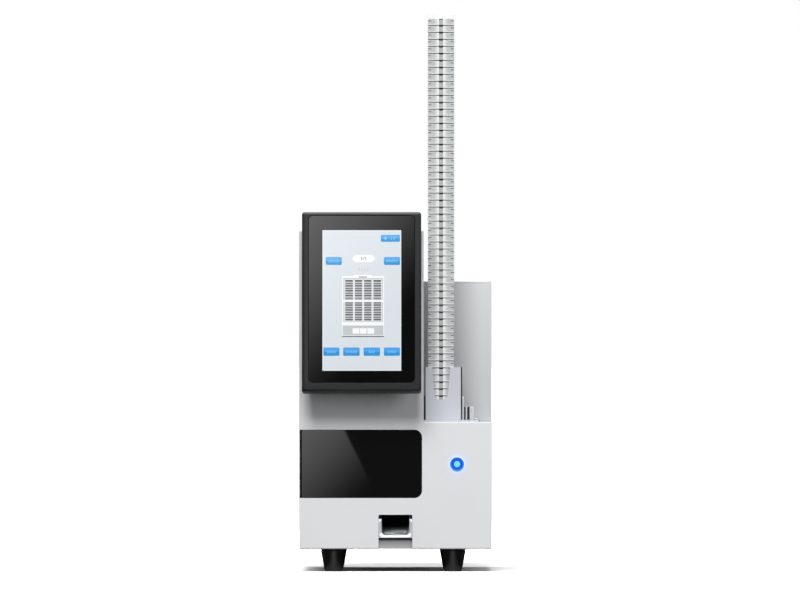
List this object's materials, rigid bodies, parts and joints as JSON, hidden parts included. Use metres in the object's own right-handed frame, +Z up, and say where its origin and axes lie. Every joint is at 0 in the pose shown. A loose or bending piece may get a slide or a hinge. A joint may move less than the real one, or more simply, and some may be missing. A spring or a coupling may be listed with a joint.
{
  "type": "histology cassette printer",
  "caption": "Bench printer that feeds histology cassettes from a tall magazine past a ribbon print head to a front chute, with a leaning touch display, a ribbon door and a lit push button.",
  "frame": {"origin": "on the floor under the middle of the box that holds the whole product", "axes": "+Z up, front faces -Y, +X to the right seen from the front"},
  "size_m": [0.212, 0.4358, 0.6126],
  "materials": {
    "cover_paint": "fine satin texture",
    "foot_rubber": "smooth",
    "display_plastic": "fine grain",
    "display_glass": "polished",
    "lcd": "lit screen",
    "door_black": "polished",
    "button_blue": "lit ring",
    "button_dark": "smooth",
    "button_cyan": "lit lens",
    "polished_steel": "polished",
    "spring_steel": "drawn",
    "holder_aluminium": "bead blasted",
    "dark_anodised": "dark anodised",
    "machine_black": "moulded",
    "sleeve_clear": "clear plastic",
    "cassette_grey": "moulded",
    "track_white": "machined",
    "ribbon_black": "film",
    "board_green": "solder mask",
    "port_metal": "tinned"
  },
  "bodies": {
    "root": {"front_fascia": "cover_paint", "left_side_cover": "cover_paint", "right_side_cover": "cover_paint", "step_deck": "cover_paint", "inner_corner_panel": "cover_paint", "tower_cap": "cover_paint", "top_cover": "cover_paint", "rear_panel": "cover_paint", "base_tray": "cover_paint", "rubber_feet": "foot_rubber", "display_bezel": "display_plastic", "display_back_shell": "display_plastic", "display_bracket": "display_plastic", "display_glass": "display_glass", "display_lcd": "lcd", "button_bezel": "button_blue", "button_barrel": "button_dark", "output_chute": "polished_steel", "door_hinge_pins": "polished_steel", "ribbon_spindles": "polished_steel", "guide_posts": "polished_steel", "button_spring": "spring_steel", "sensor_post": "spring_steel", "magazine_front_plate": "holder_aluminium", "magazine_base_plate": "holder_aluminium", "sensor_bracket": "holder_aluminium", "clamp_block": "holder_aluminium", "transport_deck": "holder_aluminium", "head_bracket": "holder_aluminium", "idler_bracket": "holder_aluminium", "magazine_frame": "dark_anodised", "clamp_slide": "dark_anodised", "stack_guide": "dark_anodised", "feed_motor": "dark_anodised", "ribbon_motor": "dark_anodised", "power_supply": "dark_anodised", "level_sensor": "machine_black", "door_latch": "machine_black", "magazine_guides": "machine_black", "fan_frame": "machine_black", "power_inlet": "machine_black", "feed_belt": "machine_black", "feed_track": "track_white", "ribbon_film": "ribbon_black", "control_board": "board_green", "data_ports": "port_metal"},
    "door": {"ribbon_door": "door_black"},
    "button": {"button_cap": "button_dark", "button_core": "button_cyan"},
    "magazine": {"magazine_sleeve": "sleeve_clear", "cassette_stack": "cassette_grey"},
    "pusher": {"feed_pusher": "track_white", "fed_cassette": "cassette_grey"},
    "feed_drive": {"drive_pulley": "holder_aluminium"},
    "feed_idler": {"idler_pulley": "holder_aluminium"},
    "supply": {"supply_spool": "ribbon_black"},
    "takeup": {"takeup_spool": "ribbon_black"},
    "head": {"print_head": "machine_black"},
    "rocker": {"power_rocker": "machine_black"},
    "fan": {"fan_rotor": "machine_black"}
  },
  "joints": [
    {"name": "door_hinge", "type": "hinge", "parent": "root", "child": "door", "pos_m": [-0.103, -0.16314, 0.11875], "axis": [0, 0, -1], "range_deg": [0, 90]},
    {"name": "button_press", "type": "slide", "parent": "root", "child": "button", "axis": [0, 1, 0], "range_m": [0, 0.002], "stiffness_N_per_m": 400, "springref_m": -0.002},
    {"name": "magazine_lift", "type": "slide", "parent": "root", "child": "magazine", "axis": [0, 0, 1], "range_m": [0, 0.062]},
    {"name": "feed_slide", "type": "slide", "parent": "root", "child": "pusher", "axis": [-1, 0, 0], "range_m": [0, 0.05]},
    {"name": "drive_turn", "type": "hinge", "parent": "root", "child": "feed_drive", "pos_m": [0.088, -0.11614, 0.0972], "axis": [0, -1, 0], "range_deg": [0, 409.26]},
    {"name": "idler_turn", "type": "hinge", "parent": "root", "child": "feed_idler", "pos_m": [0.022, -0.11614, 0.0972], "axis": [0, -1, 0], "range_deg": [0, 409.26]},
    {"name": "supply_turn", "type": "hinge", "parent": "root", "child": "supply", "pos_m": [-0.034, -0.12484, 0.1135], "axis": [0, 0, 1], "continuous": true},
    {"name": "takeup_turn", "type": "hinge", "parent": "root", "child": "takeup", "pos_m": [-0.078, -0.14264, 0.1135], "axis": [0, 0, 1], "continuous": true},
    {"name": "head_press", "type": "slide", "parent": "root", "child": "head", "axis": [0, 1, 0], "range_m": [0, 0.0016], "stiffness_N_per_m": 800, "springref_m": -0.002},
    {"name": "rocker_tilt", "type": "hinge", "parent": "root", "child": "rocker", "pos_m": [-0.072, 0.20986, 0.087], "axis": [1, 0, 0], "range_deg": [0, 16]},
    {"name": "fan_turn", "type": "hinge", "parent": "root", "child": "fan", "pos_m": [0.045, 0.20286, 0.215], "axis": [0, 1, 0], "continuous": true}
  ],
  "couplings": [
    {"joint": "drive_turn", "follows": "feed_slide", "rad_per_m": 142.86},
    {"joint": "idler_turn", "follows": "feed_slide", "rad_per_m": 142.86},
    {"joint": "takeup_turn", "follows": "supply_turn", "ratio": -1.3636}
  ]
}
